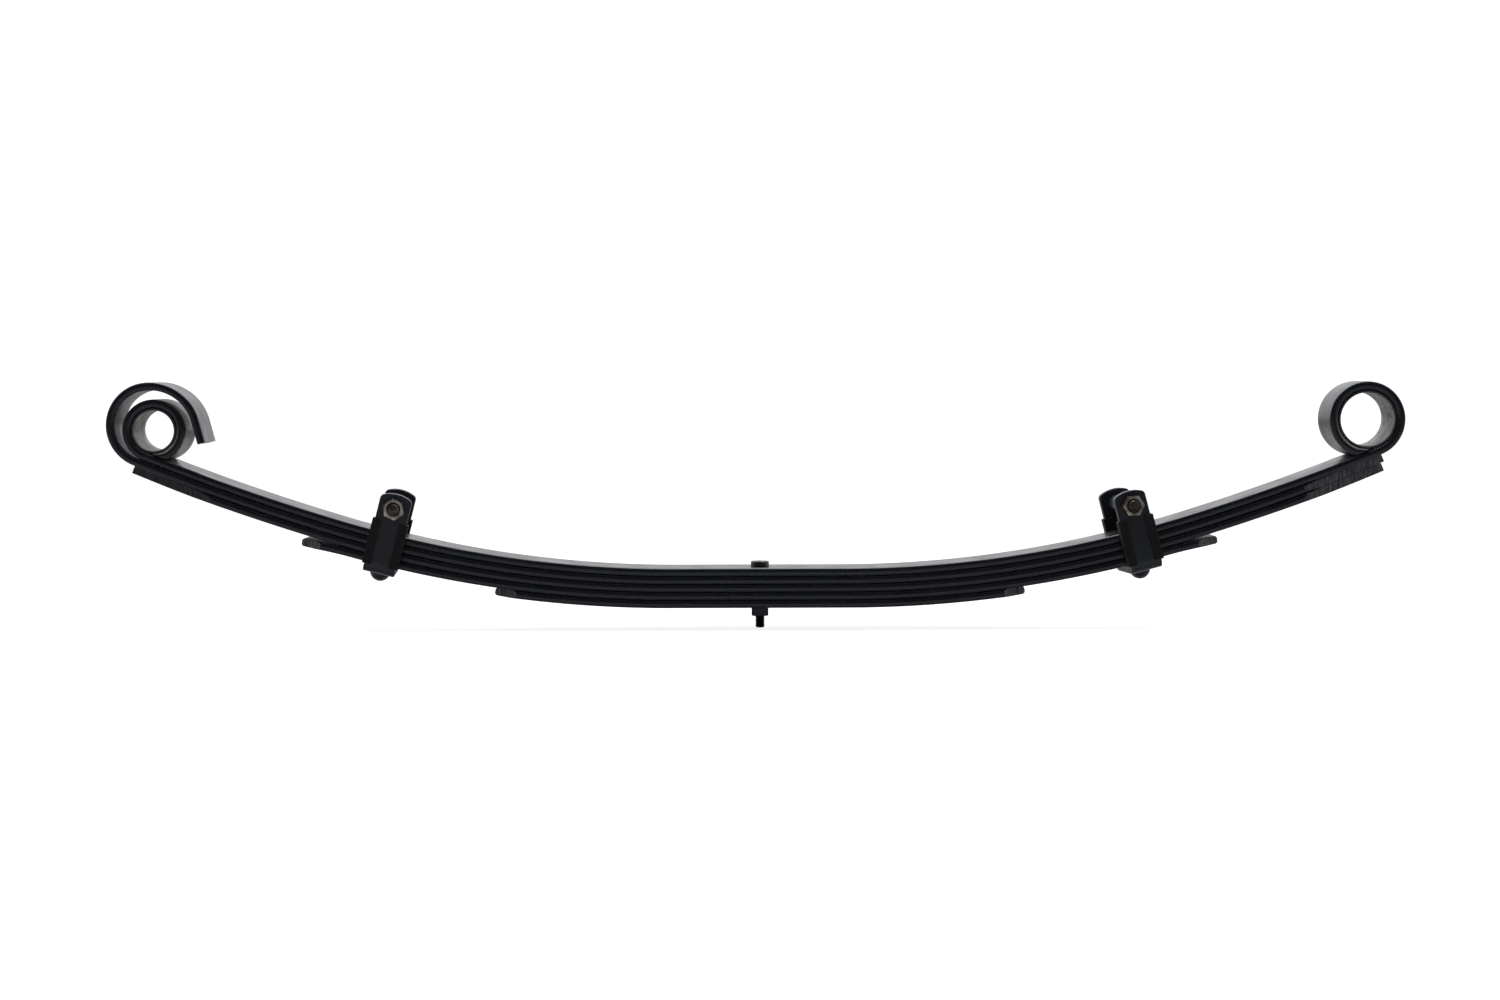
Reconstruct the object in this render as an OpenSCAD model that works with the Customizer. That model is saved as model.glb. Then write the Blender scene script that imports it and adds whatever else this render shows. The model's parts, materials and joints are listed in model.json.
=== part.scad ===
// Five-leaf suspension spring with two rolled eyes, a military wrap round the
// front eye and two riveted rebound clips.
// Millimetres. X runs along the spring (front eye at -X, rear eye at +X), Y across
// the leaves and Z up. The origin is where the centre bolt's axis meets the top
// face of the main leaf.

/* [Leaves] */
// Width of every leaf
leaf_w = 60; // [50:1:80]
// Thickness of every leaf
leaf_t = 8; // [6:0.5:10]
// How much further out each lower leaf starts to bend, which opens the pack towards its ends
bend_step = 1.5; // [0.5:0.1:3]

/* [Curve] */
// Half length of the flat seat in the middle
seat_half = 84; // [60:1:110]
// Radius of the main bend, on the top face of the main leaf
bend_r = 1163; // [900:1:1500]
// Angle of the main bend on each side
bend_angle = 16.7; // [13:0.1:20]
// Radius of the flatter bend that runs on to the eyes
tail_r = 2300; // [1800:10:3500]

/* [Front eye] */
// Distance from the centre bolt to the front eye
front_eye_x = 606; // [520:1:740]
// Bore of the front eye's sleeve
front_bore_d = 40.5; // [30:0.5:50]

/* [Rear eye] */
// Distance from the centre bolt to the rear eye
rear_eye_x = 609; // [520:1:740]
// Bore of the rear eye's sleeve
rear_bore_d = 54; // [40:0.5:65]

/* [Eye sleeves and rolls] */
// Wall of the steel sleeve in each eye
sleeve_wall = 3; // [2:0.5:5]
// Radial clearance between a sleeve and its eye
sleeve_clear = 0.05; // [0.02:0.01:0.1]
// Gap between the scarfed end of a roll and the leaf under it
roll_gap = 0.5; // [0.3:0.1:1.5]
// Angle that each roll stops short of a full turn
roll_open = 20; // [15:1:40]

/* [Military wrap] */
// Distance that the wrap's first bend sits ahead of the front eye
wrap_ahead = 4.7; // [3:0.1:12]
// Room between the front eye's roll and the wrap's first bend
wrap_room = 3.7; // [2.5:0.1:10]
// Extra radius of the bend over the top of the wrap
wrap_top_extra = 8; // [4:0.5:16]
// Angle that the last, straight stretch of the wrap leans from upright
wrap_lean = 15; // [5:1:30]
// Length of that straight stretch
wrap_end = 23; // [5:0.5:28]

/* [Leaf ends] */
// Distance that the third leaf's front end passes the front eye's centre
front_tip_past_eye = 21; // [5:1:30]
// Distance that the rear ends of the wrap leaf and the third leaf pass the rear eye's centre
rear_tip_past_eye = 16; // [5:1:30]
// Distance from the centre bolt to the fourth leaf's ends
fourth_reach = 461; // [430:1:540]
// Distance from the centre bolt to the fifth leaf's ends
fifth_reach = 266; // [200:1:320]
// Length of the trimmed edges on the long leaves
long_trim = 80; // [40:1:110]
// Length of the trimmed edges on the short leaves
short_trim = 22; // [12:1:40]
// Depth of the trim at a leaf's end, on each edge
trim_depth = 11; // [4:1:18]
// Length over which the fourth leaf's ends bend away from the pack
drop_len = 55; // [30:1:65]
// Radius of that bend
drop_r = 550; // [400:10:900]

/* [Centre bolt] */
// Thread diameter of the centre bolt
centre_d = 10; // [8:0.5:14]
// Radial clearance of the centre bolt in the leaves
centre_clear = 0.25; // [0.1:0.05:0.6]
// Diameter of the round head that locates the axle pad
dowel_d = 18.5; // [16:0.5:24]
// Height of the round head
dowel_h = 6; // [4:0.5:10]
// Size of the centre nut across its flats
centre_nut_af = 17; // [16:0.5:24]
// Height of the centre nut
centre_nut_h = 10; // [7:0.5:14]
// Length of thread below the centre nut
centre_end = 12; // [4:0.5:20]

/* [Rebound clips] */
// Distance from the centre bolt to the front clip
front_clip_x = 374; // [340:1:390]
// Distance from the centre bolt to the rear clip
rear_clip_x = 375; // [340:1:390]
// Width of the strap
clip_w = 32; // [25:1:40]
// Thickness of the strap
clip_t = 8; // [5:0.5:10]
// Turn of each clip on its rivet
clip_turn = 3.7; // [0:0.1:5]
// Outer radius of the strap's two bends
clip_bend_r = 11; // [10.5:0.5:16]
// Height of the clip bolt's axis above the main leaf
clip_rise = 26; // [22:0.5:40]
// Height of the arms' crown above the clip bolt's axis
clip_crown = 15; // [13:0.5:22]
// Radius of the arms' arched tops
crown_r = 31; // [24:1:60]
// Gap between the strap and the leaf that it is riveted to
strap_gap = 0.2; // [0.1:0.1:0.5]
// Gap between the liners and the leaves' edges
side_gap = 0.4; // [0.3:0.1:2]

/* [Clip liners] */
// Wall of the channel-shaped liner on each arm
liner_t = 2; // [1:0.5:3]
// Width of the liner's lips on the arm's outer face
liner_lip = 7; // [4:0.5:10]
// Height of the liner's top above the main leaf
liner_top = 13; // [8:0.5:14]
// Gap between a liner and its arm
liner_fit = 0.1; // [0.05:0.05:0.3]

/* [Clip fasteners] */
// Thread diameter of the clip bolt
clip_bolt_d = 12; // [8:0.5:12]
// Size of the clip bolt's head and nut across their flats
clip_nut_af = 19; // [18:0.5:22]
// Height of the clip nut
clip_nut_h = 10; // [8:0.5:12]
// Height of the clip bolt's head
clip_head_h = 7.5; // [5:0.5:10]
// Length of thread beyond the clip nut
clip_bolt_end = 2; // [1:0.5:8]
// Outer diameter of the spacer tube between the arms
spacer_d = 17; // [16:0.5:18]
// Shank diameter of the rivet
rivet_d = 12; // [8:0.5:12]
// Diameter of the rivet's round head
rivet_head_d = 21; // [19:0.5:26]
// Height of the rivet's round head
rivet_head_h = 10; // [5:0.5:12]

/* [Hidden] */

$fn = 96;
leaf_count = 5;
pack_h = leaf_count * leaf_t;
// Longest step along a leaf's curve, and largest turn between two of its faces
bend_step_angle = 1;
roll_step_angle = 6;
// Overlap that carries a cutter past a face
over = 1;
// Height of a cutter that passes through any leaf's end
end_cutter_h = 400;
// Chamfer on the ends of threads and on the round head
edge_chamfer = 1;
// Radial clearances: thread in nut, clip bolt in strap and spacer, rivet in its holes
thread_clear = 0.05;
hole_clear = 0.25;
rivet_clear = 0.15;
// Angle that the clip nut has turned from flat side up
nut_clock = 12;
// Depth of the rivet's countersunk end, and how far it flares past the shank
countersink_h = 3;
countersink_out = 2.5;

black_paint = "#1d1f24";
bare_steel = "#77736c";
zinc = "#b5aa97";
black_rubber = "#121212";

front_in_r = front_bore_d / 2 + sleeve_wall + sleeve_clear;
rear_in_r = rear_bore_d / 2 + sleeve_wall + sleeve_clear;

// ---- Curves ----
// A path starts flat at the end of the seat and is a list of [radius, turn] arcs,
// measured on a leaf's top face; a positive radius bends up and a turn of 0 makes
// the first number a straight length.

// Unit vector to the left of a heading
function left_of(h) = [-sin(h), cos(h)];

// Where a stretch of path ends
function stretch_end(p, h, s) = s[1] == 0
    ? p + s[0] * [cos(h), sin(h)]
    : p + s[0] * (left_of(h) - left_of(h + s[1]));

// Points along one stretch, pushed down from the top face by depth
function stretch_points(p, h, s, depth) =
    let (step = abs(s[0]) > 200 ? bend_step_angle : roll_step_angle,
         n = max(1, ceil(abs(s[1]) / step)))
    s[1] == 0
        ? [stretch_end(p, h, s) - depth * left_of(h)]
        : [for (k = [1:n]) let (a = s[1] * k / n)
            p + s[0] * (left_of(h) - left_of(h + a)) - depth * left_of(h + a)];

// Points along a whole path
function path_points(p, h, path, depth, i = 0) = i >= len(path)
    ? []
    : concat(stretch_points(p, h, path[i], depth),
        path_points(stretch_end(p, h, path[i]), h + path[i][1], path, depth, i + 1));

// The same points for the half of leaf number i, from the seat's end outwards
function half_points(i, path, depth) =
    let (start = [seat_half + i * bend_step, -i * leaf_t])
    concat([start - [0, depth]], path_points(start, 0, path, depth));

// Centre of the flatter bend of leaf number i
function tail_centre(i) =
    [seat_half + i * bend_step, bend_r] + (bend_r - tail_r) * [sin(bend_angle), -cos(bend_angle)];

// Slope of leaf number i where a point above its top face by rise is x from the centre bolt
function slope_at(i, x, rise = 0) =
    let (out = x - seat_half - i * bend_step, r = bend_r + i * leaf_t - rise)
    out <= r * sin(bend_angle)
        ? asin(out / r)
        : asin((x - tail_centre(i)[0]) / (tail_r + i * leaf_t - rise));

// Arcs of leaf number i from the seat to a slope
function rise_to(i, slope) = slope <= bend_angle
    ? [[bend_r + i * leaf_t, slope]]
    : [[bend_r + i * leaf_t, bend_angle], [tail_r + i * leaf_t, slope - bend_angle]];

// Point on the main leaf's top face where its slope is a
function main_top(a) = a <= bend_angle
    ? [seat_half + bend_r * sin(a), bend_r - bend_r * cos(a)]
    : tail_centre(0) + tail_r * [sin(a), -cos(a)];

function eye_slope(eye_x, in_r) = slope_at(0, eye_x, in_r);
function eye_centre(eye_x, in_r) =
    let (a = eye_slope(eye_x, in_r)) main_top(a) + in_r * left_of(a);

// Depth of the top of leaf number i under the main leaf's top, square to it
function leaf_depth(i, slope) = i * (leaf_t + bend_step * sin(slope));

function flip(points) = [for (p = points) [-p[0], p[1]]];
function backwards(points) = [for (k = [len(points) - 1:-1:0]) points[k]];

// ---- Leaves ----
// A side outline given in X and Z becomes a bar across the leaf's width
module across(w) {
    rotate([90, 0, 0]) linear_extrude(height = w, center = true) children();
}

// Outline of a leaf from its front and rear paths
module leaf_outline(i, front_path, rear_path) {
    polygon(concat(
        backwards(flip(half_points(i, front_path, 0))),
        half_points(i, rear_path, 0),
        backwards(half_points(i, rear_path, leaf_t)),
        flip(half_points(i, front_path, leaf_t))));
}

// Hole for the centre bolt
module centre_hole() {
    translate([0, 0, -pack_h - over])
        cylinder(r = centre_d / 2 + centre_clear, h = pack_h + 2 * over);
}

// Wedges that trim both edges of a leaf's end at +X
module trim_wedges(reach, trim) {
    for (side = [-1, 1])
        translate([0, 0, -pack_h])
            linear_extrude(height = end_cutter_h)
                polygon([
                    [reach - trim, side * leaf_w / 2],
                    [reach, side * (leaf_w / 2 - trim_depth)],
                    [reach + trim, side * (leaf_w / 2 - trim_depth)],
                    [reach + trim, side * leaf_w],
                    [reach - trim, side * leaf_w]]);
}

// Outline of a half of the main leaf that ends in a rolled eye. The roll turns once
// round its centre, and its end is scarfed to lie just above the leaf.
function roll_radius(in_r, before_closing) = before_closing < 80
    ? min(in_r + leaf_t, (in_r - roll_gap) / cos(before_closing))
    : in_r + leaf_t;

module eye_half_outline(eye_x, in_r) {
    slope = eye_slope(eye_x, in_r);
    centre = eye_centre(eye_x, in_r);
    lead_in = asin(over / in_r);
    turns = ceil((360 - roll_open) / roll_step_angle);
    steps = [for (k = [0:turns]) (360 - roll_open) * k / turns];
    path = rise_to(0, slope);
    short_path = rise_to(0, slope - over / tail_r * 180 / PI);
    inner = [for (a = steps)
        centre - (in_r - over) * left_of(slope + (a == 0 ? -lead_in : a))];
    outer = [for (a = steps) centre - roll_radius(in_r, 360 - a) * left_of(slope + a)];
    polygon(concat([[0, -leaf_t], [0, 0]], half_points(0, short_path, 0), inner,
        backwards(outer), backwards(half_points(0, path, leaf_t))));
}

module main_half(eye_x, in_r) {
    centre = eye_centre(eye_x, in_r);
    difference() {
        across(leaf_w) eye_half_outline(eye_x, in_r);
        translate([centre[0], 0, centre[1]]) rotate([90, 0, 0])
            cylinder(r = in_r, h = leaf_w + 2 * over, center = true);
        centre_hole();
    }
}

module main_leaf() {
    color(black_paint) {
        mirror([1, 0, 0]) main_half(front_eye_x, front_in_r);
        main_half(rear_eye_x, rear_in_r);
    }
}

// The second leaf runs on past the front eye and turns back over it
wrap_in_r = front_in_r + leaf_t + wrap_room;
wrap_slope = slope_at(1, front_eye_x + wrap_ahead, wrap_in_r);
wrap_over_the_top = 174;
wrap_path = concat(rise_to(1, wrap_slope), [
    [wrap_in_r, wrap_over_the_top - wrap_slope],
    [wrap_in_r + wrap_top_extra, 270 - wrap_lean - wrap_over_the_top],
    [wrap_end, 0]]);

module wrap_leaf() {
    reach = rear_eye_x + rear_tip_past_eye;
    color(black_paint) difference() {
        across(leaf_w) leaf_outline(1, wrap_path, rise_to(1, slope_at(1, reach)));
        trim_wedges(reach, long_trim);
        centre_hole();
    }
}

module third_leaf() {
    front_reach = front_eye_x + front_tip_past_eye;
    rear_reach = rear_eye_x + rear_tip_past_eye;
    color(black_paint) difference() {
        across(leaf_w) leaf_outline(2,
            rise_to(2, slope_at(2, front_reach)), rise_to(2, slope_at(2, rear_reach)));
        mirror([1, 0, 0]) trim_wedges(front_reach, long_trim);
        trim_wedges(rear_reach, long_trim);
        centre_hole();
    }
}

// The fourth leaf carries the clips, and its ends bend away from the pack
module fourth_leaf() {
    path = concat(rise_to(3, slope_at(3, fourth_reach - drop_len)),
        [[-drop_r, -drop_len / drop_r * 180 / PI]]);
    color(black_paint) difference() {
        across(leaf_w) leaf_outline(3, path, path);
        mirror([1, 0, 0]) trim_wedges(fourth_reach, short_trim);
        trim_wedges(fourth_reach, short_trim);
        centre_hole();
        at_clip(-1) rivet_hole();
        at_clip(1) rivet_hole();
    }
}

module fifth_leaf() {
    path = rise_to(4, slope_at(4, fifth_reach));
    color(black_paint) difference() {
        across(leaf_w) leaf_outline(4, path, path);
        mirror([1, 0, 0]) trim_wedges(fifth_reach, short_trim);
        trim_wedges(fifth_reach, short_trim);
        centre_hole();
    }
}

// ---- Eye sleeves ----
module eye_sleeve(eye_x, bore_d, in_r) {
    centre = eye_centre(eye_x, in_r);
    color(bare_steel) translate([centre[0], 0, centre[1]]) rotate([90, 0, 0])
        difference() {
            cylinder(r = in_r - sleeve_clear, h = leaf_w, center = true);
            cylinder(d = bore_d, h = leaf_w + 2 * over, center = true);
        }
}

module front_eye_sleeve() {
    mirror([1, 0, 0]) eye_sleeve(front_eye_x, front_bore_d, front_in_r);
}

module rear_eye_sleeve() {
    eye_sleeve(rear_eye_x, rear_bore_d, rear_in_r);
}

// ---- Centre bolt ----
// Hexagonal block standing on Z = 0
module hexagon(across_flats, h) {
    cylinder(d = across_flats / cos(30), h = h, $fn = 6);
}

module centre_bolt() {
    tip_z = -pack_h - centre_nut_h - centre_end;
    color(black_paint) {
        cylinder(d = dowel_d, h = dowel_h - edge_chamfer);
        translate([0, 0, dowel_h - edge_chamfer])
            cylinder(d1 = dowel_d, d2 = dowel_d - 2 * edge_chamfer, h = edge_chamfer);
        translate([0, 0, tip_z + edge_chamfer])
            cylinder(d = centre_d, h = -tip_z);
        translate([0, 0, tip_z])
            cylinder(d1 = centre_d - 2 * edge_chamfer, d2 = centre_d, h = edge_chamfer);
    }
}

module centre_nut() {
    color(black_paint) translate([0, 0, -pack_h - centre_nut_h]) difference() {
        rotate(30) hexagon(centre_nut_af, centre_nut_h);
        translate([0, 0, -over]) cylinder(d = centre_d + 2 * thread_clear, h = centre_nut_h + 2 * over);
    }
}

// ---- Rebound clips ----
// Each clip is made in its own frame: origin on the main leaf's top face, X along
// the leaf and Z square to it. side is -1 for the front clip and 1 for the rear one.
function clip_slope(side) = slope_at(0, side < 0 ? front_clip_x : rear_clip_x);

module at_clip(side) {
    a = clip_slope(side);
    p = main_top(a);
    translate([side * p[0], 0, p[1]]) rotate([0, -side * a, 0]) rotate(clip_turn)
        clip_frame(a) children();
}

// Passes the leaf's slope on to the clip's pieces
module clip_frame(a) {
    $rivet_top = -leaf_depth(3, a) - strap_gap;
    $strap_top = -leaf_depth(3, a) - leaf_t - strap_gap;
    children();
}

// The liners clear the leaves' edges although the clip stands turned
liner_half_w = clip_w / 2 + liner_fit + liner_t;
liner_in_y = (leaf_w / 2 + side_gap) / cos(clip_turn) + liner_half_w * tan(clip_turn);
arm_in_y = liner_in_y + liner_t + liner_fit;
arm_out_y = arm_in_y + clip_t;

// U of the strap, in Y and Z
module strap_section() {
    top = clip_rise + clip_crown;
    low = $strap_top - clip_t;
    in_bend_r = clip_bend_r - clip_t;
    corner = [for (k = [0:9]) 10 * k];
    half_out = [for (a = corner)
        [arm_out_y - clip_bend_r + clip_bend_r * sin(a), low + clip_bend_r - clip_bend_r * cos(a)]];
    half_in = [for (a = corner)
        [arm_in_y - in_bend_r + in_bend_r * sin(a),
         $strap_top + in_bend_r - in_bend_r * cos(a)]];
    outside = concat(half_out, [[arm_out_y, top]]);
    inside = concat(half_in, [[arm_in_y, top]]);
    polygon(concat(flip(backwards(outside)), outside, backwards(inside), flip(inside)));
}

// Arched arm, in X and Z
module arm_outline() {
    top = clip_rise + clip_crown;
    low = $strap_top - clip_t;
    intersection() {
        translate([-clip_w / 2, low - over]) square([clip_w, top - low + 2 * over]);
        union() {
            translate([0, top - crown_r]) circle(r = crown_r);
            translate([-clip_w, low - 2 * over]) square([2 * clip_w, top - low - crown_r / 2]);
        }
    }
}

module clip_strap(side) {
    color(black_paint) at_clip(side) difference() {
        intersection() {
            rotate([90, 0, 90]) linear_extrude(height = clip_w + 2 * over, center = true)
                strap_section();
            across(2 * arm_out_y + 2 * over) arm_outline();
        }
        along_clip_bolt(-arm_out_y - over) cylinder(d = clip_bolt_d + 2 * hole_clear,
            h = 2 * (arm_out_y + over));
        translate([0, 0, $strap_top - clip_t - over])
            cylinder(r = rivet_d / 2 + rivet_clear, h = clip_t + 2 * over);
    }
}

// Puts a piece on the clip bolt's axis, with Z along +Y from the given Y
module along_clip_bolt(y) {
    translate([0, y, clip_rise]) rotate([-90, 0, 0]) children();
}

// Channel round an arm, open on the arm's outer face
module liner_channel() {
    bottom = $strap_top + strap_gap + side_gap;
    x_arm = clip_w / 2 + liner_fit;
    y_lip = arm_out_y + liner_fit;
    half = [
        [liner_half_w, liner_in_y],
        [liner_half_w, y_lip + liner_t],
        [x_arm - liner_lip, y_lip + liner_t],
        [x_arm - liner_lip, y_lip],
        [x_arm, y_lip],
        [x_arm, liner_in_y + liner_t]];
    difference() {
        translate([0, 0, bottom]) linear_extrude(height = liner_top - bottom)
            polygon(concat(half, backwards(flip(half))));
        // Relief for the round inside the strap's bend
        translate([-x_arm, liner_in_y - over, bottom - over])
            cube([2 * x_arm, liner_t + liner_fit + over,
                $strap_top + clip_bend_r - clip_t + liner_fit - bottom + over]);
    }
}

// y_side is -1 on the near arm and 1 on the far one
module clip_liner(side, y_side) {
    color(black_rubber) at_clip(side) scale([1, y_side, 1]) liner_channel();
}

module clip_bolt(side) {
    tip_y = -arm_out_y - clip_nut_h - clip_bolt_end;
    color(bare_steel) at_clip(side) {
        along_clip_bolt(arm_out_y) hexagon(clip_nut_af, clip_head_h);
        along_clip_bolt(tip_y + edge_chamfer)
            cylinder(d = clip_bolt_d, h = arm_out_y - tip_y);
        along_clip_bolt(tip_y) cylinder(d1 = clip_bolt_d - 2 * edge_chamfer,
            d2 = clip_bolt_d, h = edge_chamfer);
    }
}

module clip_nut(side) {
    color(zinc) at_clip(side) along_clip_bolt(-arm_out_y - clip_nut_h) difference() {
        rotate(nut_clock) hexagon(clip_nut_af, clip_nut_h);
        translate([0, 0, -over])
            cylinder(d = clip_bolt_d + 2 * thread_clear, h = clip_nut_h + 2 * over);
    }
}

module clip_spacer(side) {
    color(bare_steel) at_clip(side) along_clip_bolt(-arm_in_y + liner_fit) difference() {
        cylinder(d = spacer_d, h = 2 * (arm_in_y - liner_fit));
        translate([0, 0, -over]) cylinder(d = clip_bolt_d + 2 * hole_clear,
            h = 2 * (arm_in_y + over));
    }
}

// Rivet with a round head under the strap and a countersunk end in the fourth leaf
module rivet_shape(grow) {
    translate([0, 0, $strap_top - clip_t - over])
        cylinder(r = rivet_d / 2 + grow, h = $rivet_top - $strap_top + clip_t + over);
    translate([0, 0, $rivet_top - countersink_h])
        cylinder(r1 = rivet_d / 2 + grow, r2 = rivet_d / 2 + countersink_out + grow,
            h = countersink_h);
}

module rivet_hole() {
    rivet_shape(rivet_clear);
    translate([0, 0, $rivet_top])
        cylinder(r = rivet_d / 2 + countersink_out + rivet_clear, h = over);
}

module clip_rivet(side) {
    round_r = (rivet_head_d * rivet_head_d / 4 + rivet_head_h * rivet_head_h)
        / (2 * rivet_head_h);
    color(black_paint) at_clip(side) {
        rivet_shape(0);
        translate([0, 0, $strap_top - clip_t]) intersection() {
            translate([0, 0, round_r - rivet_head_h]) sphere(r = round_r);
            translate([0, 0, -rivet_head_h]) cylinder(d = 2 * rivet_head_d, h = rivet_head_h);
        }
    }
}

module front_clip_strap() { clip_strap(-1); }
module front_clip_near_liner() { clip_liner(-1, -1); }
module front_clip_far_liner() { clip_liner(-1, 1); }
module front_clip_bolt() { clip_bolt(-1); }
module front_clip_nut() { clip_nut(-1); }
module front_clip_spacer() { clip_spacer(-1); }
module front_clip_rivet() { clip_rivet(-1); }
module rear_clip_strap() { clip_strap(1); }
module rear_clip_near_liner() { clip_liner(1, -1); }
module rear_clip_far_liner() { clip_liner(1, 1); }
module rear_clip_bolt() { clip_bolt(1); }
module rear_clip_nut() { clip_nut(1); }
module rear_clip_spacer() { clip_spacer(1); }
module rear_clip_rivet() { clip_rivet(1); }

main_leaf();
wrap_leaf();
third_leaf();
fourth_leaf();
fifth_leaf();
front_eye_sleeve();
rear_eye_sleeve();
centre_bolt();
centre_nut();
front_clip_strap();
front_clip_near_liner();
front_clip_far_liner();
front_clip_bolt();
front_clip_nut();
front_clip_spacer();
front_clip_rivet();
rear_clip_strap();
rear_clip_near_liner();
rear_clip_far_liner();
rear_clip_bolt();
rear_clip_nut();
rear_clip_spacer();
rear_clip_rivet();
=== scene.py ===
# %% [markdown]
# # A leaf spring
# A leaf spring is a stack of flat steel bars, bent into a shallow bow and held
# together in the middle by one bolt. The longest bar is rolled into an eye at each
# end, where the vehicle hangs from it. This lesson builds the look of one around its
# CAD frame: every bar, sleeve, strap and nut is a surface worked out with numpy.
#
# The frame comes first. It gives the pieces their places, so nothing here is fitted
# by eye, and its box is kept so that the finished model can be held against it.

# %% The frame
import json
import bpy
import numpy as np
from mathutils import Matrix, Vector


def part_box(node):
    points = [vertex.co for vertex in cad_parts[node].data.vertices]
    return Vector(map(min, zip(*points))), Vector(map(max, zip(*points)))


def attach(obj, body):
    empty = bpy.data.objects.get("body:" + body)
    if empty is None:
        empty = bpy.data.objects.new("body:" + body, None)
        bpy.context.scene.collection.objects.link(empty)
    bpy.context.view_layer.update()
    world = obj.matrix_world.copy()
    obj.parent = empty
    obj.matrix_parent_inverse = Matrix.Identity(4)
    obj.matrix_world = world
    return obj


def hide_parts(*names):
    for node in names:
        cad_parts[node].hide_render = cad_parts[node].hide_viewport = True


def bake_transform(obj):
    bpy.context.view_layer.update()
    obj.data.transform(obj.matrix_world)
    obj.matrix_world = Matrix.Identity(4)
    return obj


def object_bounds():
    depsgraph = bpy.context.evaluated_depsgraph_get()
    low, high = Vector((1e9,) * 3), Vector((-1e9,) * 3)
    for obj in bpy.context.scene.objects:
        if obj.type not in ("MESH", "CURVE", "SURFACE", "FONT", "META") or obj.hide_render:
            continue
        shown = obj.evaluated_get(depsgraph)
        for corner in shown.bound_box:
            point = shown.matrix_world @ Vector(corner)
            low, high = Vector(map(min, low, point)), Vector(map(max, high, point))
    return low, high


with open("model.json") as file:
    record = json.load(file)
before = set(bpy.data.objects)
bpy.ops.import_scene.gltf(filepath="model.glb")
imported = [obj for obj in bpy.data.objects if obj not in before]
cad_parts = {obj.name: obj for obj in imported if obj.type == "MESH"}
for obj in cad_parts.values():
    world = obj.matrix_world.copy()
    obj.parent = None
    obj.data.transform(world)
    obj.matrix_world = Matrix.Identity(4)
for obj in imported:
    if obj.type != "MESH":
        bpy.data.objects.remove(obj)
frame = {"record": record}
cad_box = [list(corner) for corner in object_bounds()]
print("box of the frame, metres:", [[round(v, 4) for v in c] for c in cad_box])

# %% [markdown]
# ## Camera, floor and light
# A long lens from nearly three metres keeps the bow's true proportions. The camera
# stands a hand above the spring, so the tops of the bars show as thin bright bands.
#
# Satin black paint is nearly invisible on its own: what the eye reads is what it
# mirrors. So the room is bright behind and above the spring and dim in front, which
# leaves the near edges dark and puts soft light on every edge that turns away. The
# camera itself sees plain white: a Light Path node tells its rays from the light's.

# %% Camera
camera_data = bpy.data.cameras.new("camera")
camera = bpy.data.objects.new("camera", camera_data)
bpy.context.scene.collection.objects.link(camera)
bpy.context.scene.camera = camera
camera_data.sensor_width = 36.0
camera_data.lens = 65.23
camera_data.clip_end = 100.0
tilt, pan, roll = np.radians([90.0 - 2.775, -0.337, -0.137])
camera.matrix_world = (Matrix.Translation((-0.026, -2.748, 0.20045))
                       @ Matrix.Rotation(pan, 4, "Z")
                       @ Matrix.Rotation(tilt, 4, "X")
                       @ Matrix.Rotation(roll, 4, "Z"))
print("camera at", [round(v, 3) for v in camera.location])

# %% Room and lamps
def add_lamp(name, place, aim, size, power, tint=(1.0, 1.0, 1.0)):
    """A square soft box at place that faces aim."""
    data = bpy.data.lights.new(name, "AREA")
    data.size, data.energy, data.color = size, power, tint
    lamp = bpy.data.objects.new(name, data)
    bpy.context.scene.collection.objects.link(lamp)
    turn = (Vector(aim) - Vector(place)).to_track_quat("-Z", "Y").to_matrix().to_4x4()
    lamp.matrix_world = Matrix.Translation(place) @ turn
    return lamp


def smooth_step(nodes, links, value, start, end, low, high):
    """Rises smoothly from low to high while value goes from start to end."""
    node = nodes.new("ShaderNodeMapRange")
    node.interpolation_type = "SMOOTHSTEP"
    node.inputs["From Min"].default_value = start
    node.inputs["From Max"].default_value = end
    node.inputs["To Min"].default_value = low
    node.inputs["To Max"].default_value = high
    links.new(value, node.inputs["Value"])
    return node.outputs["Result"]


FRONT_LIGHT, BACK_LIGHT = 0.06, 0.95
LOW_SHARE, HIGH_SHARE = 0.8, 1.35
SEEN_WHITE = 1.15


def make_room():
    """World light by direction: dim in front, bright behind, stronger from above.
    The strength is one smooth step along Y times another along Z."""
    world = bpy.data.worlds.new("room")
    bpy.context.scene.world = world
    world.use_nodes = True
    nodes, links = world.node_tree.nodes, world.node_tree.links
    nodes.clear()
    out = nodes.new("ShaderNodeOutputWorld")
    seen, lit = nodes.new("ShaderNodeBackground"), nodes.new("ShaderNodeBackground")
    seen.inputs["Color"].default_value = (1.0, 1.0, 1.0, 1.0)
    seen.inputs["Strength"].default_value = SEEN_WHITE
    coords = nodes.new("ShaderNodeTexCoord")
    axes = nodes.new("ShaderNodeSeparateXYZ")
    links.new(coords.outputs["Generated"], axes.inputs[0])
    fade = smooth_step(nodes, links, axes.outputs["Y"], -0.65, 0.30, FRONT_LIGHT, BACK_LIGHT)
    rise = smooth_step(nodes, links, axes.outputs["Z"], -0.10, 0.25, LOW_SHARE, HIGH_SHARE)
    strength = nodes.new("ShaderNodeMath")
    strength.operation = "MULTIPLY"
    links.new(fade, strength.inputs[0])
    links.new(rise, strength.inputs[1])
    links.new(strength.outputs["Value"], lit.inputs["Strength"])
    camera_ray = nodes.new("ShaderNodeLightPath")
    mix = nodes.new("ShaderNodeMixShader")
    links.new(camera_ray.outputs["Is Camera Ray"], mix.inputs["Fac"])
    links.new(lit.outputs[0], mix.inputs[1])
    links.new(seen.outputs[0], mix.inputs[2])
    links.new(mix.outputs[0], out.inputs["Surface"])


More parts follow.
